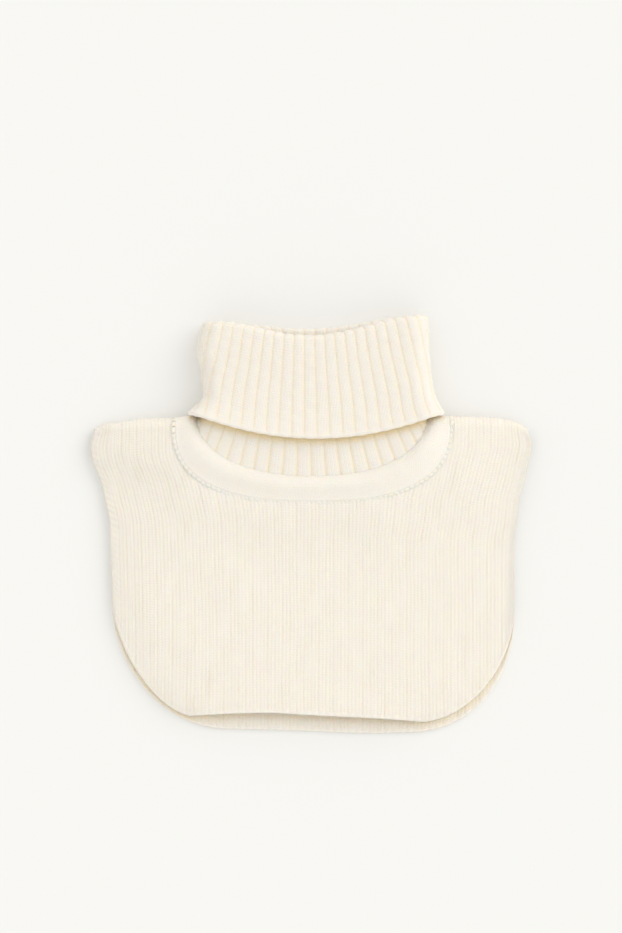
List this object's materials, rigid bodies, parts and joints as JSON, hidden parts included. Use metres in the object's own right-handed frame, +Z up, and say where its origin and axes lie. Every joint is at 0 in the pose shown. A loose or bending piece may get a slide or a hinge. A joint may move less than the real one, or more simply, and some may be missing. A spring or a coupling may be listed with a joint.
{
  "type": "turtleneck dickey",
  "caption": "Child's knitted dickey with front and back bib panels, a jersey neckband and a ribbed turtleneck collar folded down, lying flat.",
  "frame": {"origin": "on the surface it lies on, at the centre of the outline seen from above", "axes": "+X to the right seen from above, +Y from the hem to the collar's rim, +Z up from the surface"},
  "size_m": [0.2642, 0.2506, 0.0251],
  "materials": {
    "fine_rib_knit": "cream wool in a fine vertical rib, matt with a soft fuzz",
    "jersey_knit": "cream wool jersey, matt, with a linking seam along its outer edge",
    "wide_rib_knit": "cream wool in a wide vertical rib, matt with a soft fuzz"
  },
  "bodies": {
    "root": {"bib_front": "fine_rib_knit", "bib_back": "fine_rib_knit", "neck_band": "jersey_knit", "collar": "wide_rib_knit"}
  },
  "joints": []
}
